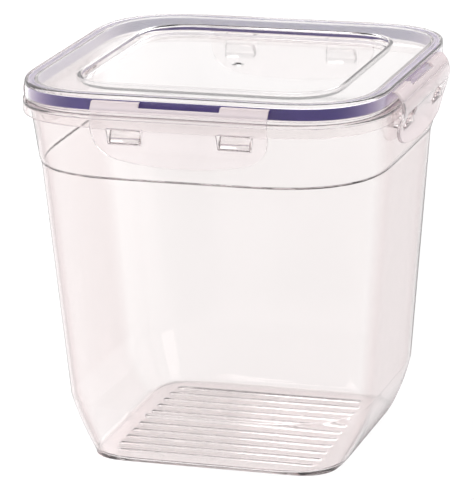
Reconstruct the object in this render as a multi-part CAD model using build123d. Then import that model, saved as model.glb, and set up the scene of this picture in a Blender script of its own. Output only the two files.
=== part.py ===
from build123d import *
from math import cos, hypot, pi, sin
import os

# Square food canister with a clip-lock lid. Millimetres, Z up, origin at the centre of the base.
# Every outline is a rounded square given by half its width and its corner radius.

# ---- container: outer wall ----
FLOOR_HALF = 65.9
FLOOR_RADIUS = 19.1
BASE_CURVE_TOP = 32.0
BASE_CURVE_POWER = 1.36
CORNER_CURVE_POWER = 1.92
TAPER_FOOT = (77.57, 37.93)
SHOULDER_FOOT = (90.95, 48.6)
SHOULDER_FOOT_Z = 157.6
SHOULDER_TOP = (92.05, 50.0)
SHOULDER_TOP_Z = 159.0
WALL_TOP = (93.42, 42.6)
WALL = 1.6
FLOOR = 2.0

# ---- container: flange, skirt and sealing lip ----
LEDGE_Z = (189.9, 191.5)
FLANGE_HALF = 97.2
FLANGE_RADIUS = 47.0
SKIRT_FOOT_Z = 185.3
SKIRT = 1.6
LIP_OUT = 93.1
LIP_IN = 91.8
SEAL_Z = 193.75

# ---- container: floor ribs ----
RIB_COUNT = 11
RIB_PITCH = 10.4
RIB_WIDTH = 2.4
RIB_HEIGHT = 0.7
RIB_FIELD_HALF = 55.0
RIB_FIELD_RADIUS = 8.0

# ---- lid ----
LID_HALF = 95.0
CORNER_CENTRE = 53.5
LID_FOOT_Z = 193.0
LID_TOP_Z = 202.2
LID_WALL = 1.6
RIM_ROOF = 2.4
CHANNEL_IN = 89.8
RIM_IN = 88.6
CHANNEL_FOOT_Z = 192.0
LID_PLATE = 1.4
RECESS_MOUTH = (68.5, 24.0)
RECESS_FLOOR = (67.5, 23.0)
RECESS_Z = 198.3
RECESS_EDGE = 1.0
RIM_EDGE = 1.3
GATE_RADIUS = 1.6
GATE_DEPTH = 0.3

# ---- gasket ----
GASKET_OUT = 93.3
GASKET_IN = 89.9
GASKET_TOP_Z = 199.75
GASKET_EDGE = 0.5

# ---- latches and their living hinges ----
LATCH_HALF = 46.0
LATCH_THICKNESS = 1.8
LATCH_FACE = [
    (97.4, 199.35),
    (98.8, 197.9),
    (100.2, 195.9),
    (101.1, 193.0),
    (101.5, 190.2),
    (101.1, 187.0),
    (100.0, 184.0),
    (99.0, 181.0),
    (98.3, 178.0),
    (97.8, 173.5),
    (98.0, 169.5),
    (98.4, 166.0),
]
LATCH_FOOT_Z = 166.9
LATCH_CORNER_Z = 173.2
LATCH_CORNER_RADIUS = 15.0
LATCH_GAP_HALF = 21.0
LATCH_GAP_Z = 197.6
SLOT_CENTRE = 28.5
SLOT_WIDTH = 17.5
SLOT_Z = (178.0, 186.0)
SLOT_RADIUS = 1.5
HINGE_OUT = 96.2
HINGE_Z = 199.1
HINGE_ROUND = 1.2
HINGE_WEB = 0.5

# ---- catch lugs ----
LUG_X = (20.5, 36.5)
LUG_Z = (178.4, 185.2)
LUG_OUT = 99.4
LUG_CHAMFER = 3.2

SIDES = [("front", 0), ("right", 90), ("back", 180), ("left", 270)]


def outline(half, radius, z):
    """Flat rounded square at height z."""
    return Pos(0, 0, z) * RectangleRounded(2 * half, 2 * half, radius)


def stack(levels):
    """Solid with straight walls between rounded squares given as (half, radius, z)."""
    return loft([outline(*level) for level in levels], ruled=True)


def prism(half, radius, z0, z1):
    """Upright rounded-square block."""
    return extrude(outline(half, radius, z0), z1 - z0)


def ring(out, radius, inner, z0, z1):
    """Rounded-square ring of even width."""
    return prism(out, radius, z0, z1) - prism(inner, radius - (out - inner), z0 - 1, z1 + 1)


def rim_ring(out, inner, z0, z1):
    """Ring whose corners share their centres with the lid's corners."""
    return ring(out, out - CORNER_CENTRE, inner, z0, z1)


def blend(low, high, t):
    """Point part of the way from low to high."""
    return tuple(a + (b - a) * t for a, b in zip(low, high))


def base_curve():
    """(half, radius, z) up the bowl-shaped foot of the outer wall, from the floor to where the taper starts."""
    levels = []
    for turn in (0, 9, 19, 30, 41, 52, 63, 75, 90):
        t = turn * pi / 180
        u = max(cos(t), 0.0) ** (2 / BASE_CURVE_POWER)
        z = BASE_CURVE_TOP * (1 - u)
        half, radius = blend(TAPER_FOOT, SHOULDER_FOOT, z / SHOULDER_FOOT_Z)
        pull = 1 - sin(t) ** (2 / BASE_CURVE_POWER)
        corner_pull = 1 - (1 - u**CORNER_CURVE_POWER) ** (1 / CORNER_CURVE_POWER)
        half -= (TAPER_FOOT[0] - FLOOR_HALF) * pull
        radius -= (TAPER_FOOT[1] - FLOOR_RADIUS) * corner_pull
        levels.append((half, radius, z))
    return levels


def inward(levels, thickness):
    """The same levels moved into the wall by its thickness, square to the wall."""
    moved = []
    for i, (half, radius, z) in enumerate(levels):
        below = levels[max(i - 1, 0)]
        above = levels[min(i + 1, len(levels) - 1)]
        run, rise = above[0] - below[0], above[2] - below[2]
        length = hypot(run, rise)
        if i == 0:
            run, rise, length = 1.0, 0.0, 1.0
        side, up = rise / length * thickness, run / length * thickness
        moved.append((half - side, radius - side, z + up))
    return moved


def make_container():
    curve = base_curve()
    wall = curve + [
        (*SHOULDER_FOOT, SHOULDER_FOOT_Z),
        (*SHOULDER_TOP, SHOULDER_TOP_Z),
        (*WALL_TOP, LEDGE_Z[0]),
    ]
    inside = [level for level in inward(wall, WALL)[: len(curve)] if level[2] > FLOOR + 1.0]
    low, high = inside[:2]
    inside.insert(0, blend(low, high, (FLOOR - low[2]) / (high[2] - low[2])))
    for half, radius, z in wall[len(curve) :]:
        inside.append((half - WALL, radius - WALL, z + 0.5))
    inside.append((WALL_TOP[0] - WALL, WALL_TOP[1] - WALL, LEDGE_Z[1] + 1))
    body = stack(wall) + prism(FLANGE_HALF, FLANGE_RADIUS, *LEDGE_Z)
    body += ring(FLANGE_HALF, FLANGE_RADIUS, FLANGE_HALF - SKIRT, SKIRT_FOOT_Z, LEDGE_Z[0])
    body -= stack(inside)
    body += rim_ring(LIP_OUT, LIP_IN, LEDGE_Z[1], SEAL_Z)
    body += make_ribs()
    for _, turn in SIDES:
        for side in (-1, 1):
            body += Rot(0, 0, turn) * make_lug(side)
    return body


def make_ribs():
    """Low parallel ribs on the inside of the floor."""
    field = prism(RIB_FIELD_HALF, RIB_FIELD_RADIUS, FLOOR - 0.5, FLOOR + RIB_HEIGHT)
    first = -RIB_PITCH * (RIB_COUNT - 1) / 2
    strips = None
    for i in range(RIB_COUNT):
        strip = Pos(0, first + i * RIB_PITCH, FLOOR) * Box(300, RIB_WIDTH, 4)
        strips = strip if strips is None else strips + strip
    return field & strips


def make_lug(side):
    """Wedge on the front wall that a latch slot drops over."""
    root = WALL_TOP[0] - WALL / 2 - 0.6
    points = [
        (-root, LUG_Z[0]),
        (-LUG_OUT, LUG_Z[0]),
        (-LUG_OUT, LUG_Z[1] - LUG_CHAMFER),
        (-LUG_OUT + LUG_CHAMFER, LUG_Z[1]),
        (-root, LUG_Z[1]),
    ]
    low, high = sorted((side * LUG_X[0], side * LUG_X[1]))
    return sweep_x(points, low, high)


def sweep_x(points, x0, x1):
    """Straight-sided (y, z) section drawn out along X."""
    face = make_face(Polyline(*[(x0, y, z) for y, z in points], close=True))
    return extrude(face, amount=x1 - x0, dir=(1, 0, 0))


def reach(edge):
    """Half width of the rim outline that an edge lies on."""
    x, y = abs(edge.center().X), abs(edge.center().Y)
    if min(x, y) < 1:
        return max(x, y)
    return CORNER_CENTRE + hypot(x - CORNER_CENTRE, y - CORNER_CENTRE)


def make_lid():
    lid = rim_ring(LID_HALF, LID_HALF - LID_WALL, LID_FOOT_Z, LID_TOP_Z)
    lid += rim_ring(LID_HALF, RIM_IN, LID_TOP_Z - RIM_ROOF, LID_TOP_Z)
    lid += rim_ring(CHANNEL_IN, RIM_IN, CHANNEL_FOOT_Z, LID_TOP_Z)
    lid += prism(RIM_IN + 0.3, RIM_IN + 0.3 - CORNER_CENTRE, LID_TOP_Z - LID_PLATE, LID_TOP_Z)

    # recessed middle that the base of another canister stands in
    floor, mouth = (*RECESS_FLOOR, RECESS_Z), (*RECESS_MOUTH, LID_TOP_Z)
    lid += stack([(floor[0] + LID_PLATE, floor[1] + LID_PLATE, RECESS_Z - LID_PLATE),
                  (mouth[0] + LID_PLATE, mouth[1] + LID_PLATE, LID_TOP_Z - LID_PLATE / 2)])
    well = stack([floor, mouth])
    well = fillet(well.edges().filter_by(lambda e: abs(e.center().Z - RECESS_Z) < 0.01), RECESS_EDGE)
    lid -= well
    lid -= prism(*RECESS_MOUTH, LID_TOP_Z, LID_TOP_Z + 1)
    for half, radius in ((LID_HALF, RIM_EDGE), (RECESS_MOUTH[0], RECESS_EDGE)):
        edges = lid.edges().filter_by(lambda e: abs(e.center().Z - LID_TOP_Z) < 0.01)
        lid = fillet(edges.filter_by(lambda e: abs(reach(e) - half) < 0.1), radius)
    gate = Pos(0, 0, RECESS_Z) * Cylinder(GATE_RADIUS, 2 * GATE_DEPTH)
    return lid - gate


def make_gasket():
    seal = rim_ring(GASKET_OUT, GASKET_IN, SEAL_Z, GASKET_TOP_Z)
    flat = [e for e in seal.edges() if abs(e.center().Z - GASKET_TOP_Z) < 0.01 or abs(e.center().Z - SEAL_Z) < 0.01]
    return fillet(flat, GASKET_EDGE)


def hinge_bar(radius):
    """Round bar along the front hinge line."""
    return Pos(0, -HINGE_OUT, HINGE_Z) * Rot(0, 90, 0) * Cylinder(radius, 2 * LATCH_HALF + 20)


def make_latch():
    """Front latch, closed: a curved plate with a D-shaped outline, two slots and a gap between its hinge webs."""
    back = []
    for i, (out, z) in enumerate(LATCH_FACE):
        above = LATCH_FACE[max(i - 1, 0)]
        below = LATCH_FACE[min(i + 1, len(LATCH_FACE) - 1)]
        run, rise = above[0] - below[0], above[1] - below[1]
        length = hypot(run, rise)
        back.append((out - rise / length * LATCH_THICKNESS, z + run / length * LATCH_THICKNESS))
    x0 = -LATCH_HALF - 2
    face_points = [(x0, -out, z) for out, z in LATCH_FACE]
    back_points = [(x0, -out, z) for out, z in back]
    section = [
        Spline(*face_points),
        Line(face_points[-1], back_points[-1]),
        Spline(*back_points[::-1]),
        Line(back_points[0], face_points[0]),
    ]
    plate = extrude(make_face(section), amount=2 * LATCH_HALF + 4, dir=(1, 0, 0))

    half, foot_z, corner_z = LATCH_HALF, LATCH_FOOT_Z, LATCH_CORNER_Z
    edge = [
        ThreePointArc((-half, -120, corner_z), (0, -120, foot_z), (half, -120, corner_z)),
        Polyline((half, -120, corner_z), (half, -120, 204), (-half, -120, 204), (-half, -120, corner_z)),
    ]
    front = extrude(make_face(edge), amount=40, dir=(0, 1, 0))
    corners = front.edges().filter_by(Axis.Y).filter_by(lambda e: abs(e.center().Z - corner_z) < 0.01)
    latch = plate & fillet(corners, LATCH_CORNER_RADIUS)
    for side in (-1, 1):
        middle = (SLOT_Z[0] + SLOT_Z[1]) / 2
        slot = Plane.XZ * RectangleRounded(SLOT_WIDTH, SLOT_Z[1] - SLOT_Z[0], SLOT_RADIUS)
        latch -= Pos(side * SLOT_CENTRE, -90, middle) * extrude(slot, 30)
    gap_height = 10
    latch -= Pos(0, -HINGE_OUT, LATCH_GAP_Z + gap_height / 2) * Box(2 * LATCH_GAP_HALF, 20, gap_height)
    return latch - hinge_bar(HINGE_ROUND)


def make_webs(lid):
    """The two thin bending strips between the lid and the front latch."""
    width = LATCH_HALF - LATCH_GAP_HALF
    webs = []
    for side in (-1, 1):
        x = side * (LATCH_GAP_HALF + width / 2)
        near = Pos(x, -HINGE_OUT + 1.0, HINGE_Z) * Box(width, 2.0, HINGE_WEB)
        far = Pos(x, -HINGE_OUT - 1.0, HINGE_Z) * Box(width, 2.0, HINGE_WEB)
        webs.append(near - lid + (far & hinge_bar(HINGE_ROUND)))
    return Compound(children=[web.solid() for web in webs])


def save(shape, node):
    shape.label = node
    export_step(shape, f"parts/{node}.step")
    print(node, "solids", len(shape.solids()), "volume", round(shape.volume))


os.makedirs("parts", exist_ok=True)
lid_panel = make_lid()
latch = make_latch()
webs = make_webs(lid_panel)
save(make_container(), "container_body")
save(lid_panel, "lid_panel")
save(make_gasket(), "gasket")
for name, turn in SIDES:
    save(Rot(0, 0, turn) * latch, f"{name}_latch")
    save(Rot(0, 0, turn) * webs, f"{name}_latch_hinge")
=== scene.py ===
import math

import bmesh
import bpy
from mathutils import Matrix, Vector


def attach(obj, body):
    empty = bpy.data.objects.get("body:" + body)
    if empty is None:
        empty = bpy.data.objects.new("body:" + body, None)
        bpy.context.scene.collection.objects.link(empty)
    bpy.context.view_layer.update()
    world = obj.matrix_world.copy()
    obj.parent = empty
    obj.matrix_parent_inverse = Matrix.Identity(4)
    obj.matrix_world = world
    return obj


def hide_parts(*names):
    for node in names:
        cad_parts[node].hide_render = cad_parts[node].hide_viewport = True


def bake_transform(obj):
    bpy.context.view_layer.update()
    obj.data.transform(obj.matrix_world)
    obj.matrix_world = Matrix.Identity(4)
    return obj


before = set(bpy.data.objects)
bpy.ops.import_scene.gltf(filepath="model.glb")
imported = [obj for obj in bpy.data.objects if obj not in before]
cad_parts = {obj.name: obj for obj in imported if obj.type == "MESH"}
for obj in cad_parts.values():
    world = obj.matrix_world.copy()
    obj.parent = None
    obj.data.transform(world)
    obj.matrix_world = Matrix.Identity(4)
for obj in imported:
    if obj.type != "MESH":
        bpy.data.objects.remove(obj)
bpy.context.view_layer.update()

MM = 0.001

# ---------------------------------------------------------------- sizes in millimetres, from the CAD model
FLOOR_HALF, FLOOR_RADIUS = 65.9, 19.1
BASE_TOP, BASE_POWER, CORNER_POWER = 32.0, 1.36, 1.92
TAPER_FOOT, TAPER_TOP_Z = (77.57, 37.93), 157.6
SHOULDER_FOOT = (90.95, 48.6, 157.0)
SHOULDER_TOP = (92.05, 50.0, 159.4)
WALL_TOP = (93.42, 42.6, 189.9)
WALL, FLOOR = 1.6, 2.0
FLANGE_HALF, FLANGE_RADIUS = 97.2, 47.0
LEDGE_LOW, LEDGE_HIGH, SKIRT_FOOT = 189.9, 191.5, 185.3
LIP_OUT, LIP_IN, SEAL_Z = 93.1, 91.8, 193.75
CENTRE = 53.5  # half the straight side of every rounded square from the flange up
RIB_PITCH, RIB_WIDTH, RIB_HEIGHT, RIB_SLOPE, RIB_ENDS = 10.4, 2.4, 0.5, 0.35, 0.9
RIB_FIELD, RIB_CORNER, GRID = 55.0, 8.0, 57.0
LID_HALF, LID_FOOT, LID_TOP = 95.0, 193.0, 202.2
LID_WALL, RIM_ROOF, RIM_IN, CHANNEL_IN, CHANNEL_FOOT = 1.6, 2.4, 88.6, 89.8, 192.0
RECESS_MOUTH, RECESS_FLOOR, RECESS_Z, PLATE = (68.5, 24.0), (67.5, 23.0), 198.3, 1.4
GASKET_OUT, GASKET_IN, GASKET_TOP = 93.3, 89.9, 199.75
LATCH_HALF, LATCH_THICK = 46.0, 1.8
# (height, distance from the centre) down the outer face of a latch
LATCH_FACE = [
    (199.35, 97.4), (197.9, 98.8), (195.9, 100.2), (193.0, 101.1), (190.2, 101.5), (187.0, 101.1),
    (184.0, 100.0), (181.0, 99.0), (178.0, 98.3), (173.5, 97.8), (169.5, 98.0), (166.0, 98.4),
]
LATCH_FOOT, LATCH_RISE, LATCH_CORNER = 166.9, 6.3, (14.0, 15.0)
LATCH_TOP, GAP_HALF, GAP_Z = 199.35, 21.0, 197.6
SLOT_CENTRE, SLOT_WIDTH, SLOT_LOW, SLOT_HIGH = 28.5, 17.5, 178.0, 186.0
LUG_X, LUG_LOW, LUG_HIGH, LUG_OUT, LUG_CHAMFER = (20.5, 36.5), 178.4, 185.2, 99.4, 3.2
HINGE_OUT, HINGE_Z, HINGE_ROUND, WEB = 96.2, 199.1, 1.2, 0.5
SIDES = {"front": 0, "right": 90, "back": 180, "left": 270}

# camera, in degrees, metres and millimetres of lens
AZIMUTH, ELEVATION, ROLL = math.radians(17.58), math.radians(16.11), math.radians(-1.086)
DISTANCE, TARGET_Z, LENS, SHIFT_X = 1.8474, 0.0983, 253.7, -0.0086

PLASTIC_IOR = 1.49


# ---------------------------------------------------------------- mesh helpers
def new_object(name, verts, faces):
    """Smooth-shaded object from points in millimetres."""
    mesh = bpy.data.meshes.new(name)
    mesh.from_pydata([tuple(c * MM for c in v) for v in verts], [], faces)
    mesh.validate()
    bm = bmesh.new()
    bm.from_mesh(mesh)
    bmesh.ops.remove_doubles(bm, verts=bm.verts, dist=0.002 * MM)
    bmesh.ops.recalc_face_normals(bm, faces=bm.faces)
    for face in bm.faces:
        face.smooth = True
    bm.to_mesh(mesh)
    bm.free()
    obj = bpy.data.objects.new(name, mesh)
    bpy.context.scene.collection.objects.link(obj)
    return obj


def corner_shape(turn, ease=0.38, fine=400):
    """Quarter turn from heading +X to heading +Y, as its reach and its points.

    Its curvature grows and fades evenly, so that a corner runs into its sides without a visible break. It
    bulges as far as a circle of radius 1 does."""
    def bend(t):
        return min(t / ease, 1.0, (1 - t) / ease)

    total = sum(bend((k + 0.5) / fine) for k in range(fine))
    x = y = heading = 0.0
    path = [(0.0, 0.0)]
    for k in range(fine):
        step = bend((k + 0.5) / fine) / total * math.pi / 2
        x += math.cos(heading + step / 2)
        y += math.sin(heading + step / 2)
        heading += step
        path.append((x, y))
    scale = (1 - math.sqrt(0.5)) / path[fine // 2][1]
    points = [path[round(fine * i / turn)] for i in range(turn)]
    return x * scale, [(px * scale, py * scale) for px, py in points]


CORNERS = {}


def loop(half, radius, z, along, turn):
    """Rounded square at height z: `along` steps on each side and `turn` steps round each corner."""
    if turn not in CORNERS:
        CORNERS[turn] = corner_shape(turn)
    reach, curve = CORNERS[turn]
    flat = half - radius * reach
    points = []
    for quarter in range(4):
        angle = quarter * math.pi / 2
        c, s = round(math.cos(angle)), round(math.sin(angle))
        side = [(-flat + 2 * flat * i / along, -half) for i in range(along)]
        side += [(flat + radius * x, -half + radius * y) for x, y in curve]
        points += [(x * c - y * s, x * s + y * c, z) for x, y in side]
    return points


def rounded(path, steps=4, support=0.35):
    """Points of a (half, radius, z, cut) path, each corner rounded over `cut` mm, with support points."""
    out = []
    for i, (a, r, z, cut) in enumerate(path):
        here = Vector((a, r, z))
        if cut <= 0 or i in (0, len(path) - 1):
            out.append(tuple(here))
            continue
        before = Vector(path[i - 1][:3]) - here
        after = Vector(path[i + 1][:3]) - here
        start, end = before.normalized() * cut, after.normalized() * cut
        if before.length > cut + support * 2:
            out.append(tuple(here + before.normalized() * (cut + support)))
        for k in range(steps + 1):
            t = k / steps
            out.append(tuple(here + start * (1 - t) ** 2 + end * t**2))
        if after.length > cut + support * 2:
            out.append(tuple(here + after.normalized() * (cut + support)))
    return out


def sweep(rings, along, turn, closed=True):
    """Vertices and quads of a (half, radius, z) path carried round the rounded square."""
    verts, faces = [], []
    count = 4 * (along + turn)
    for a, r, z in rings:
        verts += loop(a, r, z, along, turn)
    pairs = len(rings) if closed else len(rings) - 1
    for i in range(pairs):
        p, q = i * count, ((i + 1) % len(rings)) * count
        for j in range(count):
            k = (j + 1) % count
            faces.append((p + j, p + k, q + k, q + j))
    return verts, faces


def smoothstep(t):
    t = min(max(t, 0.0), 1.0)
    return t * t * (3 - 2 * t)


# ---------------------------------------------------------------- container
def base_curve(steps):
    """(half, radius, z) up the outer wall, from the edge of the floor to the start of the taper."""
    levels = []
    for i in range(steps + 1):
        t = i / steps * math.pi / 2
        u = max(math.cos(t), 0.0) ** (2 / BASE_POWER)
        z = BASE_TOP * (1 - u)
        f = z / TAPER_TOP_Z
        half = TAPER_FOOT[0] + (SHOULDER_FOOT[0] - TAPER_FOOT[0]) * f
        radius = TAPER_FOOT[1] + (SHOULDER_FOOT[1] - TAPER_FOOT[1]) * f
        half -= (TAPER_FOOT[0] - FLOOR_HALF) * (1 - math.sin(t) ** (2 / BASE_POWER))
        radius -= (TAPER_FOOT[1] - FLOOR_RADIUS) * (1 - (1 - u**CORNER_POWER) ** (1 / CORNER_POWER))
        levels.append((half, radius, z))
    return levels


def rib_height(x, y):
    """Height of the floor ribs at a point: flat-topped ridges along X inside a rounded-square field."""
    dx, dy = max(abs(x) - (RIB_FIELD - RIB_CORNER), 0), max(abs(y) - (RIB_FIELD - RIB_CORNER), 0)
    inside = RIB_CORNER - math.hypot(dx, dy)
    ridge = abs(y / RIB_PITCH - round(y / RIB_PITCH)) * RIB_PITCH
    across = smoothstep((RIB_WIDTH / 2 + RIB_SLOPE - ridge) / (2 * RIB_SLOPE))
    return RIB_HEIGHT * across * smoothstep(inside / RIB_ENDS)


def rib_rows():
    """Grid lines across the ribs: each rib's two slopes are bounded by lines, with one more between ribs."""
    rows = [-GRID, -RIB_FIELD]
    for k in range(-5, 6):
        rows += [RIB_PITCH * k + d for d in (-1.6, -1.2, -0.8, 0.0, 0.8, 1.2, 1.6)]
        if k < 5:
            rows.append(RIB_PITCH * (k + 0.5))
    return rows + [RIB_FIELD, GRID]


def make_container():
    """Tub with its base, shoulder, flange, lip and ribbed floor, and its eight catch lugs."""
    rows = rib_rows()
    along, turn = len(rows) - 1, 20
    count = 4 * (along + turn)
    outer = base_curve(26)
    outer = [(outer[0][0] - 1.2, outer[0][1] - 1.0, 0.0)] + outer
    path = [(*outer[-1], 0), (*SHOULDER_FOOT, 1.6), (*SHOULDER_TOP, 1.6), (*WALL_TOP, 0.7),
            (FLANGE_HALF - WALL, FLANGE_RADIUS - WALL, LEDGE_LOW, 0.5),
            (FLANGE_HALF - WALL, FLANGE_RADIUS - WALL, SKIRT_FOOT, 0.45),
            (FLANGE_HALF, FLANGE_RADIUS, SKIRT_FOOT, 0.55),
            (FLANGE_HALF, FLANGE_RADIUS, LEDGE_HIGH, 0.6),
            (LIP_OUT, LIP_OUT - CENTRE, LEDGE_HIGH, 0.4),
            (LIP_OUT, LIP_OUT - CENTRE, SEAL_Z, 0.5),
            (LIP_IN, LIP_IN - CENTRE, SEAL_Z, 0.5),
            (LIP_IN, LIP_IN - CENTRE, LEDGE_HIGH, 0.4),
            (WALL_TOP[0] - WALL, WALL_TOP[1] - WALL, LEDGE_LOW, 0.8),
            (SHOULDER_TOP[0] - WALL, SHOULDER_TOP[1] - WALL, SHOULDER_TOP[2] + 0.4, 1.6),
            (SHOULDER_FOOT[0] - WALL, SHOULDER_FOOT[1] - WALL, SHOULDER_FOOT[2] + 0.4, 1.6)]
    inner = []
    curve = base_curve(22)
    for i in range(len(curve) - 1, 0, -1):
        below, above = curve[i - 1], curve[min(i + 1, len(curve) - 1)]
        run, rise = above[0] - below[0], above[2] - below[2]
        length = math.hypot(run, rise)
        a, r, z = curve[i]
        point = (a - rise / length * WALL, r - rise / length * WALL, z + run / length * WALL)
        if point[2] > FLOOR + 0.5:
            inner.append(point)
    path.append((*inner[0], 0))
    rings = outer + rounded(path)[1:] + inner[1:]
    last = rings[-1]
    rings.append((last[0] - 1.6, last[1] - 2.2, FLOOR + 0.12))
    rings.append((last[0] - 3.2, last[1] - 4.0, FLOOR))
    verts, faces = sweep(rings, along, turn, closed=False)
    faces.append(tuple(range(count))[::-1])

    # ribbed floor: a square grid joined to the innermost ring
    base = (len(rings) - 1) * count
    first = len(verts)
    end = RIB_FIELD - RIB_CORNER
    columns = spread((-GRID, 15), (-end, along - 30), (end, 15), (GRID, 0))
    for y in rows:
        for x in columns:
            verts.append((x, y, FLOOR + rib_height(x, y)))

    def grid(i, j):
        return first + j * (along + 1) + i

    for j in range(along):
        for i in range(along):
            faces.append((grid(i, j), grid(i + 1, j), grid(i + 1, j + 1), grid(i, j + 1)))
    border = [lambda k: grid(k, 0), lambda k: grid(along, k),
              lambda k: grid(along - k, along), lambda k: grid(0, along - k)]
    for quarter in range(4):
        edge = border[quarter]
        start = base + quarter * (along + turn)
        for k in range(along):
            faces.append((start + k, start + k + 1, edge(k + 1), edge(k)))
        for k in range(turn):
            a = start + along + k
            b = base + (quarter * (along + turn) + along + k + 1) % count
            faces.append((a, b, edge(along)))

    # catch lugs, two on each side, rooted in the wall
    for turn_deg in SIDES.values():
        for side in (-1, 1):
            lug_verts, lug_faces = make_lug(side)
            n = len(verts)
            spin = Matrix.Rotation(math.radians(turn_deg), 3, "Z")
            verts += [tuple(spin @ Vector(v)) for v in lug_verts]
            faces += [tuple(n + k for k in f) for f in lug_faces]
    return new_object("canister_body_clear", verts, faces)


def make_lug(side):
    """Wedge with rounded edges on the front wall."""
    root = WALL_TOP[0] - 1.1
    profile = rounded_polygon([
        (root, LUG_LOW, 0), (LUG_OUT, LUG_LOW, 0.4), (LUG_OUT, LUG_HIGH - LUG_CHAMFER, 0.5),
        (LUG_OUT - LUG_CHAMFER, LUG_HIGH, 0.5), (root, LUG_HIGH, 0)])
    x0, x1 = sorted((side * LUG_X[0], side * LUG_X[1]))
    stations = [(x0, 0.35), (x0 + 0.1, 0.1), (x0 + 0.4, 0.0), (x1 - 0.4, 0.0), (x1 - 0.1, 0.1), (x1, 0.35)]
    mid = ((root + LUG_OUT) / 2, (LUG_LOW + LUG_HIGH) / 2)
    verts, faces = [], []
    for x, shrink in stations:
        for d, z in profile:
            sd = max(1 - shrink / 4.5, 0)
            sz = max(1 - shrink / 3.4, 0)
            dd = d if d <= root + 0.01 else mid[0] + (d - mid[0]) * sd
            verts.append((x, -dd, mid[1] + (z - mid[1]) * sz))
    n = len(profile)
    for s in range(len(stations) - 1):
        for k in range(n):
            m = (k + 1) % n
            faces.append((s * n + k, s * n + m, (s + 1) * n + m, (s + 1) * n + k))
    faces.append(tuple(range(n)))
    faces.append(tuple(range((len(stations) - 1) * n, len(stations) * n))[::-1])
    return verts, faces


def rounded_polygon(points, steps=3):
    """Points of a closed outline of (a, b, cut) corners, each rounded over `cut` mm."""
    out = []
    for i, (a, b, cut) in enumerate(points):
        here = Vector((a, b))
        if cut <= 0:
            out.append((a, b))
            continue
        before = (Vector(points[i - 1][:2]) - here).normalized() * cut
        after = (Vector(points[(i + 1) % len(points)][:2]) - here).normalized() * cut
        for k in range(steps + 1):
            t = k / steps
            p = here + before * (1 - t) ** 2 + after * t**2
            out.append((p.x, p.y))
    return out


# ---------------------------------------------------------------- lid and gasket
def rim(half, z, cut):
    """Path point on the family of rounded squares round the mouth."""
    return (half, half - CENTRE, z, cut)


def make_lid():
    """Flat rim round a recess with a gate mark on its floor, and a channel for the gasket underneath."""
    t = PLATE
    gate = [(0.5, -0.35), (1.3, -0.30), (1.9, 0.20), (2.5, 0.25), (3.1, 0.0), (3.3, 0.0), (3.8, 0.0)]
    top = [(a, 0.75 * a, RECESS_Z + dz, 0) for a, dz in gate]
    top += [(6.0, 4.0, RECESS_Z, 0), (12.0, 7.0, RECESS_Z, 0), (30.0, 10.0, RECESS_Z, 0)]
    top += [(*RECESS_FLOOR, RECESS_Z, 1.0), (*RECESS_MOUTH, LID_TOP, 1.2), rim(LID_HALF, LID_TOP, 1.3),
            rim(LID_HALF, LID_FOOT, 0.35), rim(LID_HALF - LID_WALL, LID_FOOT, 0.35),
            rim(LID_HALF - LID_WALL, LID_TOP - RIM_ROOF, 0.35), rim(CHANNEL_IN, LID_TOP - RIM_ROOF, 0.35),
            rim(CHANNEL_IN, CHANNEL_FOOT, 0.35), rim(RIM_IN, CHANNEL_FOOT, 0.35),
            rim(RIM_IN, LID_TOP - t, 0.5),
            (RECESS_MOUTH[0] + t, RECESS_MOUTH[1] + t, LID_TOP - t, 0.8),
            (RECESS_FLOOR[0] + t, RECESS_FLOOR[1] + t, RECESS_Z - t, 0.8), (30.0, 10.0, RECESS_Z - t, 0)]
    rings = rounded(top, support=0.3)
    along, turn = 24, 16
    verts, faces = sweep(rings, along, turn, closed=False)
    count = 4 * (along + turn)
    faces.append(tuple(range(count)))
    last = (len(rings) - 1) * count
    faces.append(tuple(range(last, last + count))[::-1])
    return new_object("canister_lid_clear", verts, faces)


def make_gasket():
    """Seal with a shallow groove along its top, which fills the channel under the lid's rim."""
    low, high = SEAL_Z, GASKET_TOP
    middle = (low + high) / 2
    path = [rim(GASKET_OUT, middle - 1.0, 0), rim(GASKET_OUT, middle + 1.0, 0), rim(GASKET_OUT, high, 0.45),
            rim(GASKET_OUT - 0.9, high, 0.3), rim(GASKET_OUT - 1.2, high - 0.9, 0.3),
            rim(GASKET_IN + 1.2, high - 0.9, 0.3), rim(GASKET_IN + 0.9, high, 0.3),
            rim(GASKET_IN, high, 0.45), rim(GASKET_IN, low, 0.8), rim(GASKET_OUT, low, 0.8),
            rim(GASKET_OUT, middle - 1.0, 0)]
    rings = rounded(path, support=0.2)[:-1]
    verts, faces = sweep(rings, 24, 16, closed=True)
    return new_object("gasket_silicone_ring", verts, faces)


# ---------------------------------------------------------------- latches
def face_out(z):
    """Distance of the latch's outer face from the centre, smooth through the profile's points."""
    pts = LATCH_FACE
    if z >= pts[0][0]:
        return pts[0][1]
    if z <= pts[-1][0]:
        return pts[-1][1]
    i = next(k for k in range(len(pts) - 1) if pts[k + 1][0] <= z)
    (z1, d1), (z0, d0) = pts[i], pts[i + 1]
    above_z, above_d = pts[max(i - 1, 0)]
    below_z, below_d = pts[min(i + 2, len(pts) - 1)]
    slope1 = (above_d - d0) / (above_z - z0)
    slope0 = (d1 - below_d) / (z1 - below_z)
    h = z1 - z0
    t = (z - z0) / h
    return ((2 * t**3 - 3 * t**2 + 1) * d0 + (t**3 - 2 * t**2 + t) * h * slope0
            + (-2 * t**3 + 3 * t**2) * d1 + (t**3 - t**2) * h * slope1)


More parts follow.
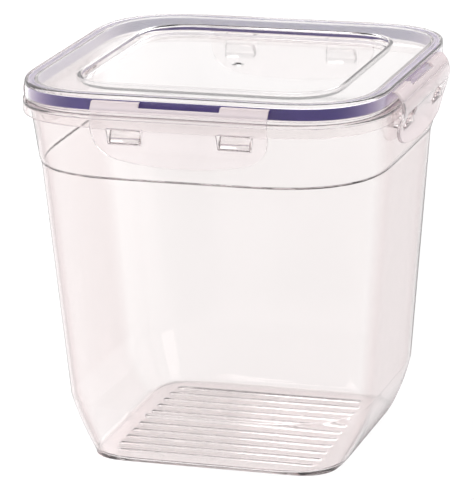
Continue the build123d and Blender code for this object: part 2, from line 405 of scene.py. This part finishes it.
def latch_foot(x):
    """Height of the latch's lower edge at x: a shallow arc with rounded corners."""
    big = (LATCH_HALF**2 + LATCH_RISE**2) / (2 * LATCH_RISE)
    wide, tall = LATCH_CORNER
    x = abs(x)
    flat = min(x, LATCH_HALF - wide)
    z = LATCH_FOOT + big - math.sqrt(big * big - flat * flat)
    if x > flat:
        u = min((x - flat) / wide, 1.0)
        slope = flat / math.sqrt(big * big - flat * flat)
        z += slope * (x - flat) * (1 - u) + tall * (1 - math.sqrt(1 - u * u))
    return z


def spread(*stops):
    """Grid lines: each stop is (value, number of steps to the next stop)."""
    values = []
    for (a, n), (b, _) in zip(stops, stops[1:]):
        values += [a + (b - a) * k / n for k in range(n)]
    values.append(stops[-1][0])
    return values


def make_latch_mesh():
    """Points and faces of the front latch: a D-shaped plate with two slots and a gap between its webs."""
    h0, h1 = SLOT_CENTRE - SLOT_WIDTH / 2, SLOT_CENTRE + SLOT_WIDTH / 2
    e = 0.5
    half_x = spread((0, 9), (GAP_HALF - 1.8, 1), (h0, 1), (h0 + 0.6, 1), (GAP_HALF + 0.6, 8), (h1 - 0.6, 1),
                    (h1, 1), (h1 + 0.6, 0))
    half_x += [LATCH_HALF - (LATCH_HALF - h1 - 0.6) * math.cos(math.pi / 2 * k / 12) for k in range(1, 13)]
    half_x = sorted(set(round(v, 4) for v in half_x + [GAP_HALF]))
    xs = [-v for v in half_x[:0:-1]] + half_x
    rows = spread((0.0, 1), (0.03, 1), (0.10, 7), (0.93, 1), (1.0, 0))
    upper = spread((SLOT_LOW, 1), (SLOT_LOW + e, 6), (SLOT_HIGH - e, 1), (SLOT_HIGH, 1), (SLOT_HIGH + e, 9),
                   (GAP_Z - e, 1), (GAP_Z, 1), (GAP_Z + e, 3), (LATCH_TOP - 0.5, 1), (LATCH_TOP, 0))
    levels = len(rows) + len(upper) - 1

    def height(x, k):
        foot = latch_foot(x)
        shift = max(foot + 2.2 - SLOT_LOW, 0) if abs(x) > h1 + 0.6 else 0
        if k < len(rows) - 1:
            return foot + (SLOT_LOW + shift - foot) * rows[k]
        z = upper[k - len(rows) + 1]
        return z + shift * max((GAP_Z - z) / (GAP_Z - SLOT_LOW), 0)

    verts, index = [], {}
    for side in (0, 1):
        for i, x in enumerate(xs):
            for k in range(levels):
                z = height(x, k)
                d = face_out(z)
                slope = (face_out(z + 0.2) - face_out(z - 0.2)) / 0.4
                n = Vector((1.0, -slope)).normalized()
                point = (x, -(d - n.x * LATCH_THICK * side), z - n.y * LATCH_THICK * side)
                index[side, i, k] = len(verts)
                verts.append(point)
    slot_rows = [k for k in range(levels - 1)
                 if height(0, k) >= SLOT_LOW - 0.01 and height(0, k + 1) <= SLOT_HIGH + 0.01]
    keep = set()
    for i in range(len(xs) - 1):
        mid = abs(xs[i] + xs[i + 1]) / 2
        for k in range(levels - 1):
            low = height(0, k)
            if h0 < mid < h1 and k in slot_rows:
                continue
            if mid < GAP_HALF and low >= GAP_Z - 0.01:
                continue
            keep.add((i, k))
    faces = []
    for i, k in keep:
        a, b, c, d = (i, k), (i + 1, k), (i + 1, k + 1), (i, k + 1)
        faces.append(tuple(index[(0, *p)] for p in (a, b, c, d)))
        faces.append(tuple(index[(1, *p)] for p in (d, c, b, a)))
        beside = ((a, b, (i, k - 1)), (b, c, (i + 1, k)), (c, d, (i, k + 1)), (d, a, (i - 1, k)))
        for p, q, other in beside:
            if other not in keep:
                faces.append((index[(0, *q)], index[(0, *p)], index[(1, *p)], index[(1, *q)]))
    used = sorted({v for f in faces for v in f})
    remap = {v: n for n, v in enumerate(used)}
    return [verts[v] for v in used], [tuple(remap[v] for v in f) for f in faces]


def make_latch(name, turn_deg, mesh_data):
    """Latch turned to its side of the lid, with its edges rounded by one level of subdivision."""
    spin = Matrix.Rotation(math.radians(turn_deg), 3, "Z")
    verts = [tuple(spin @ Vector(v)) for v in mesh_data[0]]
    obj = new_object(name, verts, mesh_data[1])
    smooth = obj.modifiers.new("Rounding", "SUBSURF")
    smooth.levels = smooth.render_levels = 1
    return obj


def make_web(name, turn_deg):
    """The two thin strips that a latch bends on, each in several sections along its length."""
    spin = Matrix.Rotation(math.radians(turn_deg), 3, "Z")
    verts, faces = [], []
    stations = 10
    start, end = LID_HALF - 0.75, HINGE_OUT + HINGE_ROUND + 0.35
    for side in (-1, 1):
        x0, x1 = sorted((side * (GAP_HALF + 0.15), side * (LATCH_HALF - 0.15)))
        columns = [x0, x0 + 0.2] + [x0 + (x1 - x0) * k / 8 for k in range(1, 8)] + [x1 - 0.2, x1]
        base = len(verts)
        for layer in (0, 1):
            for x in columns:
                for k in range(stations + 1):
                    d = start + (end - start) * k / stations
                    thin = WEB * (0.5 + 0.35 * abs(d - HINGE_OUT) / HINGE_ROUND)
                    top = HINGE_Z + 0.24 - 0.10 * (1 - min(abs(d - HINGE_OUT) / HINGE_ROUND, 1))
                    verts.append(tuple(spin @ Vector((x, -d, top - thin * layer))))
        w, h = len(columns), stations + 1

        def at(layer, i, k):
            return base + layer * w * h + i * h + k

        for i in range(w - 1):
            for k in range(h - 1):
                faces.append((at(0, i, k), at(0, i, k + 1), at(0, i + 1, k + 1), at(0, i + 1, k)))
                faces.append((at(1, i, k), at(1, i + 1, k), at(1, i + 1, k + 1), at(1, i, k + 1)))
        for i in range(w - 1):
            faces.append((at(0, i, 0), at(0, i + 1, 0), at(1, i + 1, 0), at(1, i, 0)))
            faces.append((at(0, i, h - 1), at(1, i, h - 1), at(1, i + 1, h - 1), at(0, i + 1, h - 1)))
        for k in range(h - 1):
            faces.append((at(0, 0, k), at(1, 0, k), at(1, 0, k + 1), at(0, 0, k + 1)))
            faces.append((at(0, w - 1, k), at(0, w - 1, k + 1), at(1, w - 1, k + 1), at(1, w - 1, k)))
    return new_object(name, verts, faces)


# ---------------------------------------------------------------- materials
def node(tree, kind, **values):
    n = tree.nodes.new(kind)
    for key, value in values.items():
        if key in n.inputs:
            n.inputs[key].default_value = value
        else:
            setattr(n, key, value)
    return n


def map_range(tree, value, source, target, smooth=False):
    """Output that runs from target[0] to target[1] as the value runs from source[0] to source[1]."""
    n = node(tree, "ShaderNodeMapRange")
    n.interpolation_type = "SMOOTHSTEP" if smooth else "LINEAR"
    n.inputs["From Min"].default_value, n.inputs["From Max"].default_value = source
    n.inputs["To Min"].default_value, n.inputs["To Max"].default_value = target
    tree.links.new(value, n.inputs["Value"])
    return n.outputs["Result"]


def mix_shaders(tree, fac, first, second):
    n = node(tree, "ShaderNodeMixShader")
    for socket, source in zip(n.inputs, (fac, first, second)):
        tree.links.new(source, socket)
    return n.outputs[0]


def clear_plastic(name, tint, edge, gloss, absorb, density, rough, wave, milk, painted_reflection_band=None):
    """Clear moulded polypropylene: a refracting shell with faint flow marks, slight haze and absorption.

    edge is a list of (glance, colour) stops that darken the colour at a glancing angle, partly for the
    longer way through the wall and partly as painted shade for the grey outlines of walls and rims, the
    first of them in the colour of tint; gloss tints the reflections seen face-on; wave is the height of the
    flow marks in millimetres; milk is the cloudiness of the surface; the last argument is (foot, top,
    amount) of a pale band of painted reflection across the bend of a latch, its foot and top in metres."""
    mat = bpy.data.materials.new(name)
    mat.use_nodes = True
    tree = mat.node_tree
    tree.nodes.clear()
    link = tree.links.new
    out = node(tree, "ShaderNodeOutputMaterial")
    shader = node(tree, "ShaderNodeBsdfPrincipled")
    shader.inputs["Transmission Weight"].default_value = 1.0
    shader.inputs["IOR"].default_value = PLASTIC_IOR
    shader.inputs["Specular Tint"].default_value = (*gloss, 1.0)
    place = node(tree, "ShaderNodeTexCoord")

    flow = node(tree, "ShaderNodeTexNoise", Scale=9.0, Detail=2.0, Roughness=0.45, Distortion=0.6)
    link(place.outputs["Object"], flow.inputs["Vector"])

    haze = map_range(tree, flow.outputs["Fac"], (0.3, 0.7), (rough * 0.6, rough * 1.4))
    link(haze, shader.inputs["Roughness"])

    wavy = node(tree, "ShaderNodeBump", Strength=0.35, Distance=wave * MM)
    link(flow.outputs["Fac"], wavy.inputs["Height"])
    link(wavy.outputs["Normal"], shader.inputs["Normal"])

    # the colour darkens at a glancing angle: partly for the longer way through the wall, partly painted
    # shade that strengthens the dark edges of walls and rims
    glance = node(tree, "ShaderNodeLayerWeight", Blend=0.5)
    colour = node(tree, "ShaderNodeValToRGB")
    stops = colour.color_ramp.elements
    stops[0].position, stops[0].color = edge[0][0], (*tint, 1)
    stops[1].position, stops[1].color = edge[-1][0], (*edge[-1][1], 1)
    for at, shade in edge[1:-1]:
        stops.new(at).color = (*shade, 1)
    link(glance.outputs["Facing"], colour.inputs["Fac"])
    link(colour.outputs["Color"], shader.inputs["Base Color"])

    # painted shade: where the wall is seen edge-on its reflection is swapped for a refraction in the
    # darkened edge colour, which paints a thin grey outline
    outline = node(tree, "ShaderNodeBsdfRefraction", IOR=PLASTIC_IOR, Roughness=0.0)
    link(colour.outputs["Color"], outline.inputs["Color"])
    painted_outline_weight = map_range(tree, glance.outputs["Facing"], (0.86, 0.98), (0.0, 1.0))
    surface = mix_shaders(tree, painted_outline_weight, shader.outputs[0], outline.outputs[0])

    cloud = node(tree, "ShaderNodeBsdfTranslucent", Color=(0.95, 0.925, 0.93, 1))
    amount = map_range(tree, flow.outputs["Fac"], (0.35, 0.65), (milk * 0.75, milk * 1.25))
    surface = mix_shaders(tree, amount, surface, cloud.outputs[0])

    # painted reflection: a pale diffuse band across the bend of the latch stands in for the floor reflected
    # by its curved face
    if painted_reflection_band:
        foot, top, painted_reflection_strength = painted_reflection_band
        height = node(tree, "ShaderNodeSeparateXYZ")
        link(place.outputs["Object"], height.inputs[0])
        band = map_range(tree, height.outputs["Z"], (foot, top), (0.0, painted_reflection_strength), smooth=True)
        white = node(tree, "ShaderNodeBsdfDiffuse", Color=(0.74, 0.665, 0.675, 1))
        surface = mix_shaders(tree, band, surface, white.outputs[0])

    # shadow rays pass, slightly dimmed, so that the lamps light the inside
    ray = node(tree, "ShaderNodeLightPath")
    let_by = node(tree, "ShaderNodeBsdfTransparent", Color=(0.95, 0.93, 0.94, 1))
    surface = mix_shaders(tree, ray.outputs["Is Shadow Ray"], surface, let_by.outputs[0])
    link(surface, out.inputs["Surface"])
    depth = node(tree, "ShaderNodeVolumeAbsorption", Color=(*absorb, 1), Density=density)
    link(depth.outputs[0], out.inputs["Volume"])
    return mat


def silicone(name):
    """Violet silicone: satin, slightly mottled, with a painted sheen that pales its colour at a glancing
    angle, and a faint mould texture.
    """
    mat = bpy.data.materials.new(name)
    mat.use_nodes = True
    tree = mat.node_tree
    link = tree.links.new
    shader = tree.nodes["Principled BSDF"]
    place = node(tree, "ShaderNodeTexCoord")
    mottle = node(tree, "ShaderNodeTexNoise", Scale=40.0, Detail=3.0, Roughness=0.55)
    link(place.outputs["Object"], mottle.inputs["Vector"])
    ramp = node(tree, "ShaderNodeValToRGB")
    ramp.color_ramp.elements[0].position = 0.35
    ramp.color_ramp.elements[0].color = (0.032, 0.018, 0.135, 1)
    ramp.color_ramp.elements[1].position = 0.68
    ramp.color_ramp.elements[1].color = (0.044, 0.026, 0.170, 1)
    link(mottle.outputs["Fac"], ramp.inputs["Fac"])
    # painted sheen: the colour turns pale lavender at a glancing angle, standing in for the reflections on
    # the curved corners
    glance = node(tree, "ShaderNodeLayerWeight", Blend=0.5)
    painted_sheen_weight = map_range(tree, glance.outputs["Facing"], (0.15, 0.80), (0.0, 0.75))
    sheen = node(tree, "ShaderNodeMix", data_type="RGBA")
    link(painted_sheen_weight, sheen.inputs["Factor"])
    link(ramp.outputs["Color"], sheen.inputs[6])
    sheen.inputs[7].default_value = (0.46, 0.36, 0.52, 1)
    link(sheen.outputs[2], shader.inputs["Base Color"])
    link(map_range(tree, mottle.outputs["Fac"], (0.0, 1.0), (0.34, 0.52)), shader.inputs["Roughness"])
    grain = node(tree, "ShaderNodeTexNoise", Scale=1200.0, Detail=2.0)
    link(place.outputs["Object"], grain.inputs["Vector"])
    bump = node(tree, "ShaderNodeBump", Strength=0.2, Distance=0.03 * MM)
    link(grain.outputs["Fac"], bump.inputs["Height"])
    link(bump.outputs["Normal"], shader.inputs["Normal"])
    shader.inputs["Subsurface Weight"].default_value = 0.15
    shader.inputs["Subsurface Radius"].default_value = (0.3, 0.25, 1.0)
    shader.inputs["Subsurface Scale"].default_value = 0.002
    return mat


def give(obj, mat):
    obj.data.materials.clear()
    obj.data.materials.append(mat)


# each edge list darkens its plastic at a glancing angle: partly for the longer way through the wall, partly
# painted shade for the grey outlines of walls and rims
body_mat = clear_plastic(
    "clear_body", tint=(0.945, 0.925, 0.921),
    edge=[(0.52, None), (0.72, (0.69, 0.575, 0.575)), (0.95, (0.45, 0.40, 0.41))],
    gloss=(0.75, 0.72, 0.73), absorb=(0.85, 0.79, 0.79), density=36.0, rough=0.03, wave=0.008, milk=0.015)
lid_mat = clear_plastic(
    "clear_lid", tint=(0.997, 0.99, 0.988), edge=[(0.80, None), (0.97, (0.62, 0.56, 0.58))],
    gloss=(0.50, 0.46, 0.48), absorb=(0.85, 0.79, 0.80), density=28.0, rough=0.03, wave=0.02, milk=0.008)
# the latch plastic carries a painted reflection: a pale band across the bend of each latch
latch_mat = clear_plastic(
    "clear_latch", tint=(0.975, 0.966, 0.962),
    edge=[(0.50, None), (0.72, (0.84, 0.745, 0.755)), (0.95, (0.58, 0.51, 0.52))],
    gloss=(0.72, 0.68, 0.70), absorb=(0.85, 0.785, 0.79), density=40.0, rough=0.08, wave=0.05, milk=0.12,
    painted_reflection_band=(0.1930, 0.1972, 0.62))
seal_mat = silicone("violet_silicone")

# ---------------------------------------------------------------- pieces
body = make_container()
give(body, body_mat)
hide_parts("container_body")
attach(body, "container")

lid = make_lid()
give(lid, lid_mat)
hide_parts("lid_panel")
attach(lid, "lid")

gasket = make_gasket()
give(gasket, seal_mat)
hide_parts("gasket")
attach(gasket, "lid")

latch_data = make_latch_mesh()
for side, turn_deg in SIDES.items():
    latch = make_latch(f"{side}_latch_clear", turn_deg, latch_data)
    give(latch, latch_mat)
    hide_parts(f"{side}_latch")
    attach(latch, f"latch_{side}")
    web = make_web(f"{side}_hinge_webs", turn_deg)
    give(web, latch_mat)
    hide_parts(f"{side}_latch_hinge")
    out = Matrix.Rotation(math.radians(turn_deg), 3, "Z") @ Vector((0, -1, 0))
    low = out * (HINGE_OUT - HINGE_ROUND) * MM
    high = out * (HINGE_OUT + HINGE_ROUND) * MM
    low.z = high.z = HINGE_Z * MM
    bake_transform(web)


# ---------------------------------------------------------------- floor, light and camera
FLOOR_SIZE, FLOOR_DROP, FLOOR_GLOW = 6.0, 0.0003, 0.87
LEFT_GAIN, FAR_GAIN, FRONT_SHADE = 0.15, 0.12, 0.5


def math_node(tree, operation, first, second):
    n = node(tree, "ShaderNodeMath", operation=operation)
    tree.links.new(first, n.inputs[0])
    tree.links.new(second, n.inputs[1])
    return n.outputs[0]


def make_floor():
    """Pale sweep that glows, brighter to the camera's left and far behind, darker in front of the object."""
    size = FLOOR_SIZE
    mesh = bpy.data.meshes.new("studio_floor")
    corners = [(-size, -size, 0), (size, -size, 0), (size, size, 0), (-size, size, 0)]
    mesh.from_pydata(corners, [], [(0, 1, 2, 3)])
    obj = bpy.data.objects.new("studio_floor", mesh)
    bpy.context.scene.collection.objects.link(obj)
    mat = bpy.data.materials.new("studio_white")
    mat.use_nodes = True
    tree = mat.node_tree
    shader = tree.nodes["Principled BSDF"]
    shader.inputs["Base Color"].default_value = (0.12, 0.12, 0.12, 1)
    shader.inputs["Roughness"].default_value = 0.9
    shader.inputs["Specular IOR Level"].default_value = 0.0
    shader.inputs["Emission Color"].default_value = (1, 1, 1, 1)
    where = node(tree, "ShaderNodeTexCoord")

    def along(axis, source, gain):
        n = node(tree, "ShaderNodeVectorMath", operation="DOT_PRODUCT")
        n.inputs[1].default_value = axis
        tree.links.new(where.outputs["Object"], n.inputs[0])
        return map_range(tree, n.outputs["Value"], source, (0.0, gain), smooth=True)

    rightward = (math.cos(AZIMUTH), math.sin(AZIMUTH), 0)
    away = (-math.sin(AZIMUTH), math.cos(AZIMUTH), 0)
    left = along(rightward, (-0.02, -0.12), LEFT_GAIN)
    gains = math_node(tree, "ADD", left, along(away, (0.5, 1.1), FAR_GAIN))
    base = node(tree, "ShaderNodeValue")
    base.outputs[0].default_value = FLOOR_GLOW
    strength = math_node(tree, "ADD", gains, base.outputs[0])

    split = node(tree, "ShaderNodeSeparateXYZ")
    tree.links.new(where.outputs["Object"], split.inputs[0])
    ahead_x = map_range(tree, split.outputs["X"], (-0.34, -0.12), (0.0, 1.0), smooth=True)
    ahead_y = map_range(tree, split.outputs["Y"], (-0.35, -0.60), (0.0, 1.0), smooth=True)
    shade = map_range(tree, math_node(tree, "MULTIPLY", ahead_x, ahead_y), (0.0, 1.0), (1.0, FRONT_SHADE))
    tree.links.new(math_node(tree, "MULTIPLY", strength, shade), shader.inputs["Emission Strength"])
    mesh.materials.append(mat)
    return obj


floor = make_floor()
floor.location.z = -FLOOR_DROP

scene = bpy.context.scene
scene.view_settings.view_transform = "Standard"
scene.cycles.use_denoising = True
scene.cycles.max_bounces = 28
scene.cycles.transmission_bounces = 28
scene.cycles.glossy_bounces = 8
scene.cycles.diffuse_bounces = 4
scene.cycles.transparent_max_bounces = 32
scene.cycles.caustics_reflective = False
scene.cycles.caustics_refractive = True
scene.cycles.blur_glossy = 0.3
scene.cycles.sample_clamp_indirect = 6.0

# soft white surroundings, slightly greyer towards the horizon
world = bpy.data.worlds.new("studio")
world.use_nodes = True
scene.world = world
sky_tree = world.node_tree
background = sky_tree.nodes["Background"]
direction = node(sky_tree, "ShaderNodeTexCoord")
parts = node(sky_tree, "ShaderNodeSeparateXYZ")
sky_tree.links.new(direction.outputs["Generated"], parts.inputs[0])
sky = node(sky_tree, "ShaderNodeValToRGB")
sky.color_ramp.elements[0].position = 0.0
sky.color_ramp.elements[0].color = (0.80, 0.78, 0.785, 1)
sky.color_ramp.elements[1].position = 0.35
sky.color_ramp.elements[1].color = (1.0, 1.0, 1.0, 1)
sky_tree.links.new(parts.outputs["Z"], sky.inputs["Fac"])
sky_tree.links.new(sky.outputs["Color"], background.inputs["Color"])
background.inputs["Strength"].default_value = 0.98


def area_light(name, location, target, size, power):
    data = bpy.data.lights.new(name, "AREA")
    data.shape = "RECTANGLE"
    data.size, data.size_y = size
    data.energy = power
    obj = bpy.data.objects.new(name, data)
    obj.location = location
    obj.rotation_euler = (Vector(target) - Vector(location)).to_track_quat("-Z", "Y").to_euler()
    scene.collection.objects.link(obj)


area_light("key_softbox", (-0.9, -0.9, 1.5), (0, 0, 0.08), (1.0, 1.0), 9.0)
area_light("fill_softbox", (1.3, -0.6, 1.0), (0, 0, 0.1), (0.8, 1.2), 5.0)
area_light("back_softbox", (0.2, 1.5, 1.2), (0, 0, 0.1), (1.6, 0.8), 8.0)

camera_data = bpy.data.cameras.new("camera")
camera = bpy.data.objects.new("camera", camera_data)
scene.collection.objects.link(camera)
level = math.cos(ELEVATION)
back = Vector((math.sin(AZIMUTH) * level, -math.cos(AZIMUTH) * level, math.sin(ELEVATION)))
right = (-back).cross(Vector((0, 0, 1))).normalized()
up = right.cross(-back)
rolled_right = math.cos(ROLL) * right + math.sin(ROLL) * up
rolled_up = -math.sin(ROLL) * right + math.cos(ROLL) * up
stand = Matrix((rolled_right, rolled_up, back)).transposed().to_4x4()
stand.translation = Vector((0, 0, TARGET_Z)) + back * DISTANCE
camera.matrix_world = stand
camera_data.lens = LENS
camera_data.sensor_width = 36.0
camera_data.shift_x = SHIFT_X
camera_data.clip_start = 0.05
camera_data.clip_end = 50.0
scene.camera = camera
